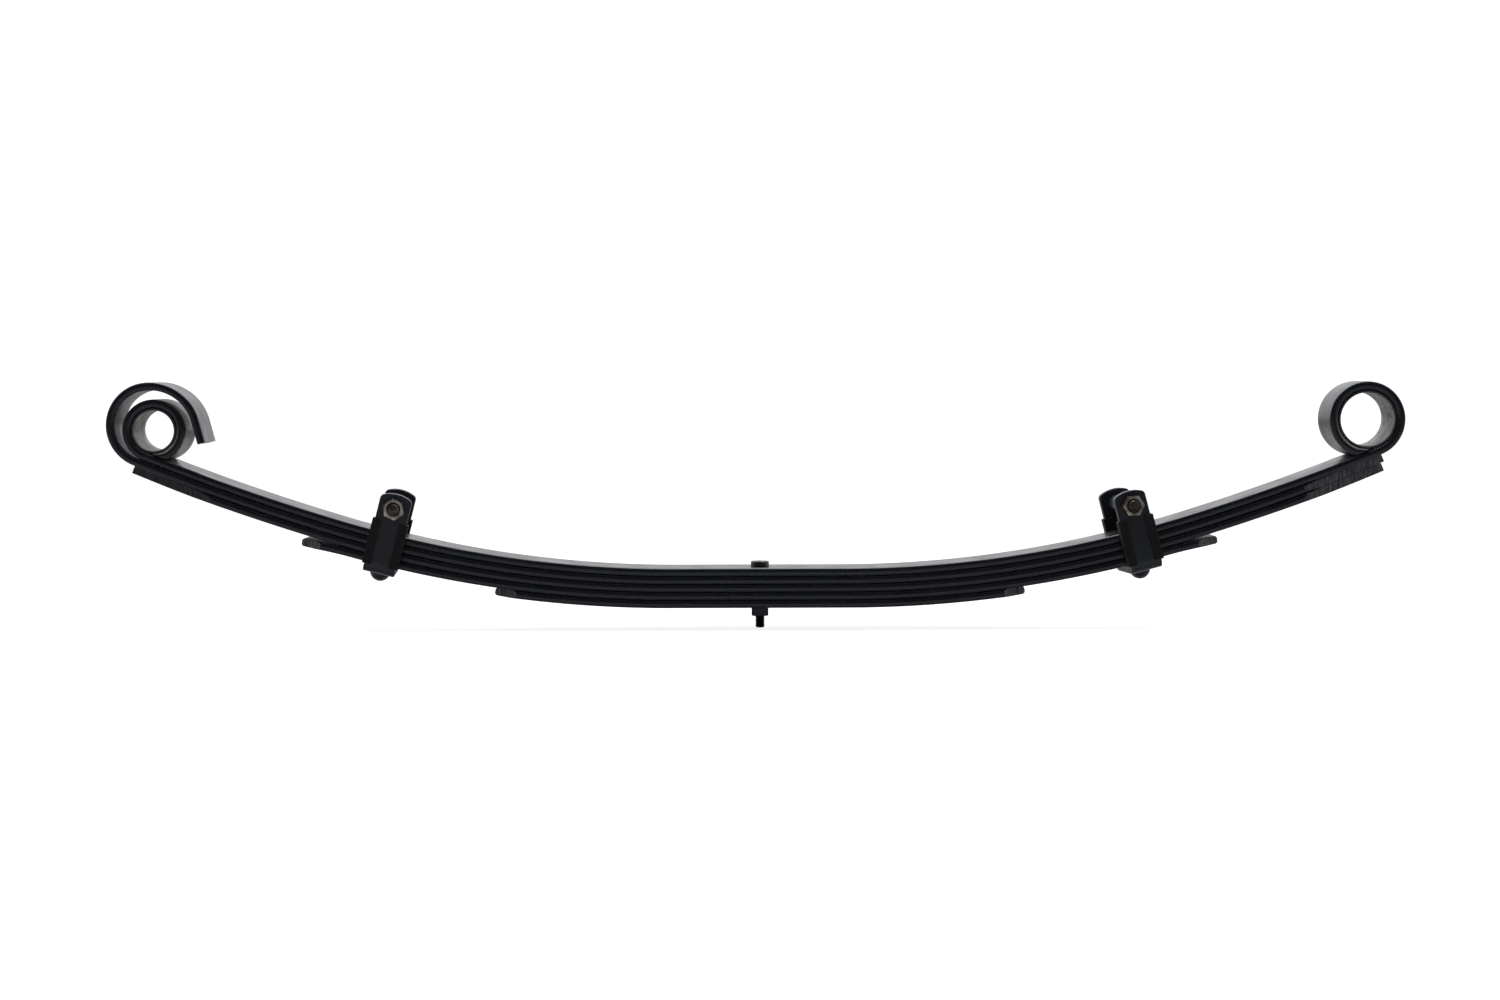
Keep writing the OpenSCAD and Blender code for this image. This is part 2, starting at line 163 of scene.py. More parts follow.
make_room()
add_lamp("top_soft_box", (0.0, 0.35, 1.7), (0.0, 0.0, 0.0), 1.6, 34.0)
add_lamp("left_soft_box", (-1.9, 0.5, 0.7), (-0.4, 0.0, 0.1), 0.8, 5.0)
add_lamp("right_soft_box", (1.9, 0.5, 0.7), (0.4, 0.0, 0.1), 0.8, 5.0)
bpy.context.scene.view_settings.view_transform = "Standard"

# %% Floor
floor_z = cad_box[0][2] - 0.0005
floor_mesh = bpy.data.meshes.new("floor")
floor_corners = [(-9, -9, floor_z), (9, -9, floor_z), (9, 9, floor_z), (-9, 9, floor_z)]
floor_mesh.from_pydata(floor_corners, [], [(0, 1, 2, 3)])
floor = bpy.data.objects.new("floor", floor_mesh)
bpy.context.scene.collection.objects.link(floor)
print("floor at z =", round(floor_z, 4))

# %% [markdown]
# ## Finishes
# The bars are dipped in satin black chassis paint over hot-rolled steel. A flat black
# looks like plastic, so the paint gets four things that real paint has: a slow drift
# of tint, patches where it dried duller, a fine orange peel, and thin wear on the
# corners where handling has rubbed it. Where the ends were sheared, the steel is torn
# into upright grooves that the paint hardly fills. Near the tip of a rolled eye the
# inner corner gets a painted highlight: a pale colour for the light that it catches.
#
# All patterns read Object coordinates in metres, so a noise scale of 1000 makes
# grains of about one millimetre. Rubbed corners, sheared faces and the painted
# highlight on a roll's lip are told apart by the vertex attributes `edge`, `cut` and
# the lip attribute, which the shapes below write as they are made. A shape without one
# of them reads as 0 there.

# %% Material helpers
def start_material(name):
    material = bpy.data.materials.new(name)
    material.use_nodes = True
    nodes, links = material.node_tree.nodes, material.node_tree.links
    return material, nodes, links, nodes["Principled BSDF"]


def noise(nodes, links, scale, detail=3.0, stretch=(1.0, 1.0, 1.0)):
    """Noise on Object coordinates; stretch above 1 packs it tighter along that axis."""
    coords = nodes.new("ShaderNodeTexCoord")
    mapping = nodes.new("ShaderNodeMapping")
    mapping.inputs["Scale"].default_value = stretch
    texture = nodes.new("ShaderNodeTexNoise")
    texture.inputs["Scale"].default_value = scale
    texture.inputs["Detail"].default_value = detail
    links.new(coords.outputs["Object"], mapping.inputs["Vector"])
    links.new(mapping.outputs["Vector"], texture.inputs["Vector"])
    return texture.outputs["Fac"]


def span(nodes, links, value, low, high, start=0.3, end=0.7):
    """Maps value between start and end onto low to high."""
    node = nodes.new("ShaderNodeMapRange")
    node.inputs["From Min"].default_value = start
    node.inputs["From Max"].default_value = end
    node.inputs["To Min"].default_value = low
    node.inputs["To Max"].default_value = high
    links.new(value, node.inputs["Value"])
    return node.outputs["Result"]


def blend_colours(nodes, links, factor, first, second):
    node = nodes.new("ShaderNodeMix")
    node.data_type = "RGBA"
    links.new(factor, node.inputs["Factor"])
    for socket, colour in ((node.inputs["A"], first), (node.inputs["B"], second)):
        if isinstance(colour, tuple):
            socket.default_value = (*colour, 1.0)
        else:
            links.new(colour, socket)
    return node.outputs["Result"]


def calculate(nodes, links, operation, first, second):
    node = nodes.new("ShaderNodeMath")
    node.operation = operation
    node.use_clamp = operation == "MULTIPLY"
    for socket, value in zip(node.inputs, (first, second)):
        if isinstance(value, (int, float)):
            socket.default_value = value
        else:
            links.new(value, socket)
    return node.outputs["Value"]


def read_attribute(nodes, name):
    node = nodes.new("ShaderNodeAttribute")
    node.attribute_name = name
    return node.outputs["Fac"]


def bump(nodes, links, shader, layers):
    """Chains bumps of (height, strength, distance) onto the shader's normal."""
    normal = None
    for height, strength, distance in layers:
        node = nodes.new("ShaderNodeBump")
        node.inputs["Strength"].default_value = strength
        node.inputs["Distance"].default_value = distance
        links.new(height, node.inputs["Height"])
        if normal is not None:
            links.new(normal, node.inputs["Normal"])
        normal = node.outputs["Normal"]
    links.new(normal, shader.inputs["Normal"])


# %% Paint, metal and rubber
# The third colour here is a pale painted highlight for the inner corner of a rolled eye,
# standing in for the light that corner catches.
DUST, RUBBED_STEEL, PAINTED_HIGHLIGHT = (0.10, 0.09, 0.07), (0.20, 0.19, 0.18), (0.80, 0.79, 0.78)
GROOVE_DARK, GROOVE_LIGHT = (0.020, 0.021, 0.025), (0.150, 0.150, 0.157)


def make_paint(name, dark, light, dull=(0.22, 0.36), peel=0.16, wear=0.55):
    """Satin paint with drifting tint, dust, dull patches, orange peel and mill lines,
    rubbed along its corners, torn where it was sheared, and with a painted highlight
    on a roll's lip.
    dull is the range of roughness, peel and wear are strengths."""
    material, nodes, links, shader = start_material(name)
    drift = span(nodes, links, noise(nodes, links, 14.0, 4.0), 0.0, 1.0)
    colour = blend_colours(nodes, links, drift, dark, light)
    dust = span(nodes, links, noise(nodes, links, 420.0, 2.0), 0.0, 1.0, 0.66, 0.74)
    dust = calculate(nodes, links, "MULTIPLY", dust, 0.35)
    colour = blend_colours(nodes, links, dust, colour, DUST)
    rubbed = span(nodes, links, noise(nodes, links, 160.0, 5.0), 0.0, wear, 0.52, 0.66)
    rubbed = calculate(nodes, links, "MULTIPLY", rubbed, read_attribute(nodes, "edge"))
    colour = blend_colours(nodes, links, rubbed, colour, RUBBED_STEEL)
    torn = read_attribute(nodes, "cut")
    grooves = noise(nodes, links, 700.0, 4.0, (1.0, 1.0, 0.10))
    groove_share = span(nodes, links, grooves, 0.0, 1.0, 0.35, 0.65)
    torn_tint = blend_colours(nodes, links, groove_share, GROOVE_DARK, GROOVE_LIGHT)
    colour = blend_colours(nodes, links, torn, colour, torn_tint)
    patchy = span(nodes, links, noise(nodes, links, 90.0, 3.0), 0.6, 1.0)
    # Painted highlight: where the lip attribute is set, broken into patches by noise, a pale
    # colour stands in for light on a roll's rounded inner corner.
    lip_highlight = calculate(nodes, links, "MULTIPLY", read_attribute(nodes, "lip_highlight"), patchy)
    colour = blend_colours(nodes, links, lip_highlight, colour, PAINTED_HIGHLIGHT)
    links.new(colour, shader.inputs["Base Color"])
    shine = calculate(nodes, links, "MULTIPLY", rubbed, 0.5)
    links.new(shine, shader.inputs["Metallic"])
    rough = span(nodes, links, noise(nodes, links, 38.0, 5.0), *dull)
    rough = calculate(nodes, links, "ADD", rough,
                      calculate(nodes, links, "MULTIPLY", torn, 0.34))
    links.new(rough, shader.inputs["Roughness"])
    shader.inputs["Specular IOR Level"].default_value = 0.55
    shader.inputs["Specular Tint"].default_value = (0.84, 0.89, 1.0, 1.0)
    fine = noise(nodes, links, 1400.0, 2.0)
    mill = noise(nodes, links, 260.0, 4.0, (1.6, 0.12, 0.6))
    deep = calculate(nodes, links, "MULTIPLY", grooves, torn)
    bump(nodes, links, shader, [(fine, peel, 0.00012), (mill, 0.09, 0.00025),
                                (deep, 0.9, 0.0006)])
    return material


def make_metal(name, dark, light, rough, streak=(1.0, 1.0, 1.0), metallic=1.0, bare=None):
    """Bare or plated metal with blotches and fine scratches. If bare gives a paint
    colour, points whose `bare` attribute is 0 keep that paint."""
    material, nodes, links, shader = start_material(name)
    blotch = span(nodes, links, noise(nodes, links, 110.0, 6.0), 0.0, 1.0, 0.40, 0.60)
    colour = blend_colours(nodes, links, blotch, dark, light)
    scratch = noise(nodes, links, 900.0, 3.0, streak)
    links.new(span(nodes, links, scratch, *rough), shader.inputs["Roughness"])
    if bare:
        open_steel = read_attribute(nodes, "bare")
        colour = blend_colours(nodes, links, open_steel, bare, colour)
        links.new(calculate(nodes, links, "MULTIPLY", open_steel, metallic),
                  shader.inputs["Metallic"])
    else:
        shader.inputs["Metallic"].default_value = metallic
    links.new(colour, shader.inputs["Base Color"])
    bump(nodes, links, shader, [(scratch, 0.25, 0.0001),
                                (noise(nodes, links, 160.0, 4.0), 0.15, 0.0003)])
    return material


def make_rubber(name):
    """Matte moulded liner: dull black, with dust in its fine grain."""
    material, nodes, links, shader = start_material(name)
    grain = noise(nodes, links, 1800.0, 3.0)
    patch = span(nodes, links, noise(nodes, links, 60.0, 4.0), 0.0, 1.0)
    links.new(blend_colours(nodes, links, patch, (0.0045, 0.0045, 0.005),
                            (0.010, 0.009, 0.009)), shader.inputs["Base Color"])
    links.new(span(nodes, links, grain, 0.62, 0.8), shader.inputs["Roughness"])
    shader.inputs["Specular IOR Level"].default_value = 0.3
    bump(nodes, links, shader, [(grain, 0.3, 0.0001)])
    return material


leaf_paint = make_paint("leaf_paint", (0.0034, 0.0042, 0.0068), (0.0066, 0.0074, 0.0104))
strap_paint = make_paint("strap_paint", (0.0054, 0.0068, 0.0100), (0.0092, 0.0108, 0.0145),
                         dull=(0.30, 0.42), peel=0.45, wear=0.8)
bolt_black = make_paint("bolt_black", (0.004, 0.004, 0.005), (0.008, 0.008, 0.010),
                        dull=(0.26, 0.38), peel=0.2, wear=0.9)
sleeve_steel = make_metal("sleeve_steel", (0.13, 0.122, 0.117), (0.30, 0.287, 0.277),
                          (0.4, 0.58), streak=(1.0, 0.15, 1.0), metallic=0.5,
                          bare=(0.045, 0.047, 0.054))
zinc_plate = make_metal("zinc_plate", (0.26, 0.22, 0.175), (0.56, 0.51, 0.46), (0.14, 0.28))
bolt_steel = make_metal("bolt_steel", (0.040, 0.035, 0.031), (0.11, 0.10, 0.092), (0.34, 0.5))
liner_rubber = make_rubber("liner_rubber")
print("finishes:", [m.name for m in bpy.data.materials])

# %% [markdown]
# ## Two floors in one
# The camera sees the floor as pale paper that glows a little, so that it joins the
# white room. The steel sees a darker one. A white floor would act as a second lamp
# and light the near faces of the bars from below.

# %% Floor finish
floor_material, nodes, links, dim = start_material("floor_pale")
dim.inputs["Base Color"].default_value = (0.36, 0.36, 0.36, 1.0)
dim.inputs["Roughness"].default_value = 0.9
pale = nodes.new("ShaderNodeBsdfPrincipled")
pale.inputs["Base Color"].default_value = (0.30, 0.30, 0.30, 1.0)
pale.inputs["Roughness"].default_value = 1.0
pale.inputs["Specular IOR Level"].default_value = 0.0
pale.inputs["Emission Color"].default_value = (1.0, 1.0, 1.0, 1.0)
pale.inputs["Emission Strength"].default_value = 0.86
camera_ray = nodes.new("ShaderNodeLightPath")
choice = nodes.new("ShaderNodeMixShader")
links.new(camera_ray.outputs["Is Camera Ray"], choice.inputs["Fac"])
links.new(dim.outputs[0], choice.inputs[1])
links.new(pale.outputs[0], choice.inputs[2])
links.new(choice.outputs[0], nodes["Material Output"].inputs["Surface"])
floor.data.materials.append(floor_material)
print("floor finish:", floor_material.name)

# %% [markdown]
# ## From arrays to meshes
# Two helpers carry every shape. A *loft* joins rings of points, one ring per step,
# into a skin: bars, bolts, nuts and sleeves are all lofts. A *slab* joins two sheets
# of points, an outer and an inner one, with walls between them: straps and liners are
# slabs. Both measure the volume that their faces enclose, and if it comes out
# negative the faces pointed inwards and are turned round.

# %% Loft and slab
def build(name, points, quads, caps, material, sharp, attributes):
    """Mesh from points and faces. Volume is the sum over faces of the corner triple
    products over six; its sign says whether the faces point outwards."""
    def volume_of(a, b, c):
        return np.einsum("ij,ij->", points[a], np.cross(points[b], points[c])) / 6.0
    volume = (volume_of(quads[:, 0], quads[:, 1], quads[:, 2])
              + volume_of(quads[:, 0], quads[:, 2], quads[:, 3]))
    for cap in caps:
        volume += volume_of(np.full(len(cap) - 2, cap[0]), cap[1:-1], cap[2:])
    faces = quads.tolist() + [cap.tolist() for cap in caps]
    if volume < 0:
        faces = [face[::-1] for face in faces]
    mesh = bpy.data.meshes.new(name)
    mesh.from_pydata(points.tolist(), [], faces)
    for key, values in (attributes or {}).items():
        layer = mesh.attributes.new(key, "FLOAT", "POINT")
        layer.data.foreach_set("value", np.ascontiguousarray(values, dtype=np.float32).ravel())
    mesh.shade_smooth()
    mesh.set_sharp_from_angle(angle=np.radians(sharp))
    mesh.materials.append(material)
    piece = bpy.data.objects.new(name, mesh)
    bpy.context.scene.collection.objects.link(piece)
    return piece


def loft(name, rings, material, joined=False, sharp=38.0, attributes=None):
    """Skin over rings of shape (steps, around, 3). Joined closes the last ring onto
    the first, as on a nut; otherwise both ends are capped."""
    steps, around, _ = rings.shape
    row = np.arange(steps if joined else steps - 1)[:, None]
    column = np.arange(around)[None, :]
    after_row, after_column = (row + 1) % steps, (column + 1) % around
    quads = np.stack([row * around + column, row * around + after_column,
                      after_row * around + after_column, after_row * around + column],
                     axis=-1).reshape(-1, 4)
    caps = [] if joined else [np.arange(around)[::-1],
                              (steps - 1) * around + np.arange(around)]
    return build(name, rings.reshape(-1, 3), quads, caps, material, sharp, attributes)


def slab(name, outer, inner, material, bevel=0.0006, sharp=38.0, attributes=None):
    """Plate between two sheets of shape (rows, columns, 3), walled on four sides and
    with its edges rounded by a bevel."""
    rows, columns, _ = outer.shape
    index = np.arange(rows * columns).reshape(rows, columns)
    other = index + rows * columns

    def sheet(grid):
        return np.stack([grid[:-1, :-1], grid[:-1, 1:], grid[1:, 1:], grid[1:, :-1]],
                        axis=-1).reshape(-1, 4)

    def wall(line, opposite):
        return np.stack([line[1:], line[:-1], opposite[:-1], opposite[1:]], axis=-1)

    quads = np.concatenate([
        sheet(index), sheet(other)[:, ::-1],
        wall(index[0], other[0]), wall(index[-1][::-1], other[-1][::-1]),
        wall(index[:, 0][::-1], other[:, 0][::-1]), wall(index[:, -1], other[:, -1])])
    piece = build(name, np.concatenate([outer, inner]).reshape(-1, 3), quads, [],
                  material, sharp, attributes)
    rounding = piece.modifiers.new("rounded edges", "BEVEL")
    rounding.width, rounding.segments = bevel, 3
    rounding.limit_method, rounding.angle_limit = "ANGLE", np.radians(35.0)
    rounding.harden_normals = False
    return piece


print("loft and slab ready")

# %% [markdown]
# ## The bow's curve
# All five bars follow one law. Each is flat in the middle, where the axle sits, bends
# on a round arc, then on a flatter arc out to its end. A lower bar starts its bend a
# little later and on a larger radius, by its depth in the pack. Seen from the side,
# the law is a chain of arcs: after a length s on an arc of radius r the heading has
# turned by s / r, and the point has moved by r times the change of the left-hand
# normal. The same chain also rolls the eyes, because an eye is only a tight arc.

# %% Numbers of the curve
leaf_low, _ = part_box("fifth_leaf")
seat_low, seat_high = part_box("main_leaf")
LEAF_W = seat_high[1] - seat_low[1]
LEAF_T = 0.008
SEAT_HALF, BEND_R, BEND_ANGLE, TAIL_R = 0.084, 1.163, np.radians(16.7), 2.300
BEND_STEP = 0.0015
print("leaf width", round(LEAF_W, 4), "pack height", round(-leaf_low[2], 4))


def left_of(heading):
    """Unit vector a quarter turn left of a heading, in X and Z."""
    heading = np.asarray(heading, float)
    return np.stack([-np.sin(heading), np.cos(heading)], axis=-1)


def tail_centre_x(i):
    return SEAT_HALF + i * BEND_STEP + (BEND_R - TAIL_R) * np.sin(BEND_ANGLE)


def slope_at(i, x, rise=0.0):
    """Slope of bar i where a point above its top face by rise is x from the bolt:
    the arcsine of the distance from the arc's centre line over the arc's radius."""
    out, radius = x - SEAT_HALF - i * BEND_STEP, BEND_R + i * LEAF_T - rise
    if out <= radius * np.sin(BEND_ANGLE):
        return np.arcsin(out / radius)
    return np.arcsin((x - tail_centre_x(i)) / (TAIL_R + i * LEAF_T - rise))


def rise_to(i, slope):
    """Chain of (radius, turn) that takes bar i from the bolt to a slope. Where the turn
    is 0, the first number is a straight length."""
    chain = [(SEAT_HALF + i * BEND_STEP, 0.0), (BEND_R + i * LEAF_T, min(slope, BEND_ANGLE))]
    if slope > BEND_ANGLE:
        chain.append((TAIL_R + i * LEAF_T, slope - BEND_ANGLE))
    return chain


def follow(i, chain, s):
    """Points and headings at lengths s along the chain of bar i's top face, and the
    chain's whole length."""
    starts, headings, begins = [np.array([0.0, -i * LEAF_T])], [0.0], [0.0]
    for radius, turn in chain:
        point, heading = starts[-1], headings[-1]
        if turn == 0:
            starts.append(point + radius * -left_of(heading + np.pi / 2))
            begins.append(begins[-1] + radius)
        else:
            starts.append(point + radius * (left_of(heading) - left_of(heading + turn)))
            begins.append(begins[-1] + abs(radius * turn))
        headings.append(heading + turn)
    radii, turns = np.array(chain).T
    straight_here = turns == 0
    k = np.clip(np.searchsorted(begins, s, side="right") - 1, 0, len(chain) - 1)
    gone = s - np.array(begins)[k]
    first = np.array(headings)[k]
    heading = first + np.where(straight_here[k], 0.0, gone / radii[k])
    straight = gone[:, None] * -left_of(first + np.pi / 2)
    curved = radii[k][:, None] * (left_of(first) - left_of(heading))
    moved = np.where(straight_here[k][:, None], straight, curved)
    return np.array(starts)[k] + moved, heading, begins[-1]


def chain_length(chain):
    return sum(radius if turn == 0 else abs(radius * turn) for radius, turn in chain)


# %% [markdown]
# ## A bar's section
# Spring bar isn't a sharp rectangle. It is rolled between grooved rolls that leave
# its edges slightly round, and that roundness is what draws a light line along each
# bar in the pack. The section is a closed ring: flat faces above and below, and on
# each side a shallow bow, with a tight round where it meets the faces.

# %% Section ring
EDGE_BOW, CORNER, CORNER_SHARE = 0.0014, 0.0010, 0.20


def bar_section():
    """Ring of (y as a share of half the width, inset, depth share, corner weight).
    On a side, inset = bow g^2 plus a quarter-round near g = 1, for g the height from
    the middle over half the thickness."""
    bowed = np.linspace(-1, 1, 9) * (1 - CORNER_SHARE)
    turn = np.radians(np.array([18, 36, 54, 72, 90]))
    g_corner = 1 - CORNER_SHARE + CORNER_SHARE * np.sin(turn)
    g = np.concatenate([-g_corner[::-1], bowed, g_corner])
    drop = CORNER * (1 - np.cos(turn))
    inset = EDGE_BOW * g ** 2 + np.concatenate([drop[::-1], np.zeros(9), drop])
    worn = np.exp(-((np.abs(g) - 0.93) / 0.07) ** 2)
    flat = np.linspace(1, -1, 9)[1:-1]
    ones = np.ones_like(flat)
    flat_inset = ones * inset[0]
    share = np.concatenate([np.ones_like(g), flat, -np.ones_like(g), -flat])
    insets = np.concatenate([inset, flat_inset, inset, flat_inset])
    depth = np.concatenate([(g + 1) / 2, ones, (1 - g) / 2, 0 * ones])
    corner = np.concatenate([worn, 0 * ones, worn[::-1], 0 * ones])
    side = np.concatenate([np.ones_like(g), 0 * ones, np.ones_like(g), 0 * ones])
    return share, insets, depth, corner, side


SHARE, INSET, DEPTH, WORN, SIDE = bar_section()
print("points round a bar:", len(SHARE))


def ragged(s, depth, seed):
    """Torn edge: sums of sines of unrelated pitch along the bar, with a little lean
    down its depth, so each groove stands nearly upright."""
    phase = np.random.default_rng(seed).uniform(0, 2 * np.pi, 6)
    pitch = np.array([0.0021, 0.0031, 0.0047, 0.0083, 0.0013, 0.0171])
    size = np.array([0.9, 1.0, 0.9, 1.2, 0.5, 1.0]) * 0.00007
    wave = np.sin(2 * np.pi * (s[..., None] + 0.08 * depth[..., None]) / pitch + phase)
    return (np.sign(wave) * np.abs(wave) ** 0.7 * size).sum(-1)


# %% [markdown]
# ## Half a bar
# A spring bends, so no bar can ride on one body. Each is made as two halves that meet
# under the centre bolt. Half a bar is a function of two parameters: how far along the
# chain, and where round the section. The point is the chain's point, pushed down
# square to it by depth, at a width that the section gives. Where an end is trimmed,
# the width is capped by the cut, which slices the round edge off just as shears do.
# The shortest bars' tips are also rounded over: near the end the thickness falls as
# the height of a circle does, sqrt(1 - u^2), for u going from 0 to 0.86.

# %% Half-bar function
BOW_STEP, ROLL_STEP, SHEAR_STEP = 0.005, 0.0015, 0.0006
SHEAR_IN = 0.011


def half_bar(name, i, side, chain, reach=None, trim=0.0, thin=None, end_step=ROLL_STEP,
             seed=0, torn=1.0, wear=0.15, nose=0.0, lip_highlight=None):
    """side is -1 for the front half and 1 for the rear. thin gives the thickness over the
    full one along s. reach and trim place the sheared taper in X, which takes
    SHEAR_IN off each side, and torn is how ragged it is. nose is the length that is
    rounded over. wear is how far the corners are rubbed. The last argument gives, along
    s, how strongly a painted highlight lies on the top corners."""
    total = follow(i, chain, np.array([0.0]))[2]
    bow_end = min(total, chain_length(chain[:3]))
    coarse = np.linspace(0, bow_end, 1 + int(bow_end / BOW_STEP))
    steps = [coarse]
    if trim:
        tip = total - nose * np.array([0.5, 0.3, 0.15, 0.05, 0.0])
        steps = [coarse[coarse < total - trim * 1.12],
                 np.arange(total - trim * 1.1, total, SHEAR_STEP), tip]
    elif total > bow_end + 1e-6:
        steps.append(np.arange(bow_end + 0.001, total, end_step))
        steps.append([total])
    s = np.unique(np.concatenate(steps).round(7))
    points, heading, _ = follow(i, chain, s)
    thickness = LEAF_T * (thin(s) if thin else np.ones_like(s))
    depth = thickness[:, None] * DEPTH[None, :]
    if nose:
        into = np.clip((s - (total - nose)) / nose, 0, 1)
        kept = np.sqrt(1 - (0.86 * into) ** 2)
        depth = LEAF_T / 2 + (depth - LEAF_T / 2) * kept[:, None]
    half = LEAF_W / 2
    y = SHARE[None, :] * (half - INSET[None, :]) + 0 * s[:, None]
    cut = np.zeros_like(y)
    if trim:
        past = np.clip(points[:, 0] - (reach - trim), 0, None)[:, None]
        tear = torn * ragged(s[:, None] + 0 * depth, depth, seed + 7)
        limit = half - SHEAR_IN * past / trim + tear * (past > 0)
        cut = (np.abs(y) > limit) * torn
        y = np.clip(y, -limit, limit)
    normal = left_of(heading)
    x = points[:, None, 0] - depth * normal[:, None, 0]
    z = points[:, None, 1] - depth * normal[:, None, 1]
    rings = np.stack([side * x, y, z], axis=-1)
    worn = WORN[None, :] * (1 - cut) * wear
    worn[-2:] = 3 * wear
    # The top corners, which lie inside a rolled eye, get the painted highlight wherever the lip
    # function gives it strength.
    top_corner = SIDE * np.exp(-(DEPTH / 0.15) ** 2)
    lip_highlight_share = (lip_highlight(s) if lip_highlight else 0 * s)[:, None] * top_corner[None, :]
    return loft(name, rings, leaf_paint,
                attributes={"edge": worn, "cut": cut, "lip_highlight": lip_highlight_share})


def bend_with(piece, node):
    """Bakes the half's place into its mesh, hides the CAD part that it stands in for and
    prints its face count."""
    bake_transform(piece)
    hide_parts(node)
    print(piece.name, "faces:", len(piece.data.polygons))


# %% [markdown]
# ## Main leaf and its eyes
# The eye is the bar's own end, rolled once round a mandrel while red hot. Before
# rolling, the tip is scarfed: ground to a wedge, so that it can lie down on the bar
# without a step. In numbers the roll is one more arc in the chain, and the scarf
# thins the bar so that its outer face stays on the plane of the bar below it. Over
# the last third of a turn the inner corner carries a painted highlight.

# %% Main leaf
GAP, OPEN, WALL = 0.0005, np.radians(20.0), 0.003
eyes = {}
for mount in frame["record"]["mounts"]:
    if mount["name"] in ("front_eye", "rear_eye"):
        eyes[mount["name"]] = (np.array(mount["pos_m"]), mount["dims"]["r_mm"] / 1000)


def eye_chain(eye_name):
    centre, bore = eyes[eye_name]
    inner = bore + WALL + 0.00005
    slope = slope_at(0, abs(centre[0]), inner)
    chain = rise_to(0, slope) + [(inner, 2 * np.pi - OPEN)]
    roll_start = chain_length(chain[:-1])

    def thin(s):
        before_closing = 2 * np.pi - np.clip(s - roll_start, 0, None) / inner
        scarfed = before_closing < np.radians(80)
        plane = (inner - GAP) / np.cos(np.minimum(before_closing, 1.4))
        outer = np.minimum(inner + LEAF_T, plane)
        return np.where(scarfed, (outer - inner) / LEAF_T, 1.0)

    # Strength of the painted highlight on the roll's inner corner, along the bar.
    def lip_highlight(s):
        """From 0 at 130 degrees before the roll closes to 1 at 70."""
        before_closing = np.degrees(2 * np.pi - (s - roll_start) / inner)
        return np.clip((130 - before_closing) / 60, 0, 1)

    return chain, thin, lip_highlight


for label, side in (("front", -1), ("rear", 1)):
    chain, thin, lip_highlight = eye_chain(label + "_eye")
    bend_with(half_bar("main_leaf_" + label, 0, side, chain, thin=thin, end_step=0.0012,
                       wear=0.4, lip_highlight=lip_highlight), "main_leaf")

# %% [markdown]
# ## The military wrap and the lower leaves
# The second bar runs on past the front eye and turns back over it. If the eye ever
# breaks, the wrap still holds the vehicle, and the open space lets the two bars slide
# on each other as they flex. The third bar runs full length too. The fourth carries
# the clips and dips its tips away from the pack, so that they don't dig in, and the
# fifth is short and only stiffens the middle.

# %% Wrap and lower leaves
front_centre, front_bore = eyes["front_eye"]
rear_centre, _ = eyes["rear_eye"]
wrap_inner = front_bore + WALL + 0.00005 + LEAF_T + 0.0037
wrap_slope = slope_at(1, abs(front_centre[0]) + 0.0047, wrap_inner)
over_top = np.radians(174.0)
wrap_chain = rise_to(1, wrap_slope) + [
    (wrap_inner, over_top - wrap_slope),
    (wrap_inner + 0.008, np.radians(270.0 - 15.0) - over_top),
    (0.0230, 0.0)]
rear_reach, front_reach = abs(rear_centre[0]) + 0.016, abs(front_centre[0]) + 0.021
bend_with(half_bar("wrap_leaf_front", 1, -1, wrap_chain, wear=0.4), "wrap_leaf")
bend_with(half_bar("wrap_leaf_rear", 1, 1, rise_to(1, slope_at(1, rear_reach)),
                   rear_reach, 0.080, seed=1), "wrap_leaf")
for label, side, reach in (("front", -1, front_reach), ("rear", 1, rear_reach)):
    bend_with(half_bar("third_leaf_" + label, 2, side, rise_to(2, slope_at(2, reach)),
                       reach, 0.080, seed=2 + side, torn=0.7 + 0.3 * side),
              "third_leaf")
    drop = rise_to(3, slope_at(3, 0.461 - 0.055)) + [(-0.550, -0.055 / 0.550)]
    bend_with(half_bar("fourth_leaf_" + label, 3, side, drop, 0.461, 0.022, seed=5 + side,
                       nose=0.003), "fourth_leaf")
    bend_with(half_bar("fifth_leaf_" + label, 4, side, rise_to(4, slope_at(4, 0.266)),
                       0.266, 0.022, seed=8 + side, nose=0.003), "fifth_leaf")

# %% [markdown]
# ## Round pieces
# Sleeves, bolts and rivets are turned or headed, so each is a profile carried round
# an axis: the point at angle a of profile row (r, h) is (r cos a, r sin a, h). Edges
# get small chamfers, because a true sharp edge catches no light. A thread is the same
# surface with a radius that depends on the angle too: it peaks where h over the pitch,
# less the share of a turn, is whole.

# %% Turned shapes
def circle_rings(radius, height, around=64):
    """Rings of a profile; radius may be (rows,) or (rows, around)."""
    angle = np.linspace(0, 2 * np.pi, around, endpoint=False)
    radius = np.asarray(radius, float)
    radius = radius if radius.ndim == 2 else np.repeat(radius[:, None], around, axis=1)
    height = np.asarray(height, float)
    height = height if height.ndim == 2 else np.repeat(height[:, None], around, axis=1)
    return np.stack([radius * np.cos(angle), radius * np.sin(angle), height], axis=-1)


def thread_radius(height, around, outer, pitch, first, last):
    """Outer radius less a groove: depth times a triangle wave of height / pitch less
    the angle's share of a turn, faded in at both ends."""
    share = np.linspace(0, 1, around, endpoint=False)
    wave = np.abs(((height[:, None] / pitch - share) % 1.0) * 2 - 1)
    fade = np.clip(np.minimum(height - first, last - height) / pitch, 0, 1)[:, None]
    return outer - 0.61 * pitch * wave * fade


def placed(rings, matrix):
    """Takes points by a 4 x 4 matrix."""
    matrix = np.array(matrix)
    return rings @ matrix[:3, :3].T + matrix[:3, 3]


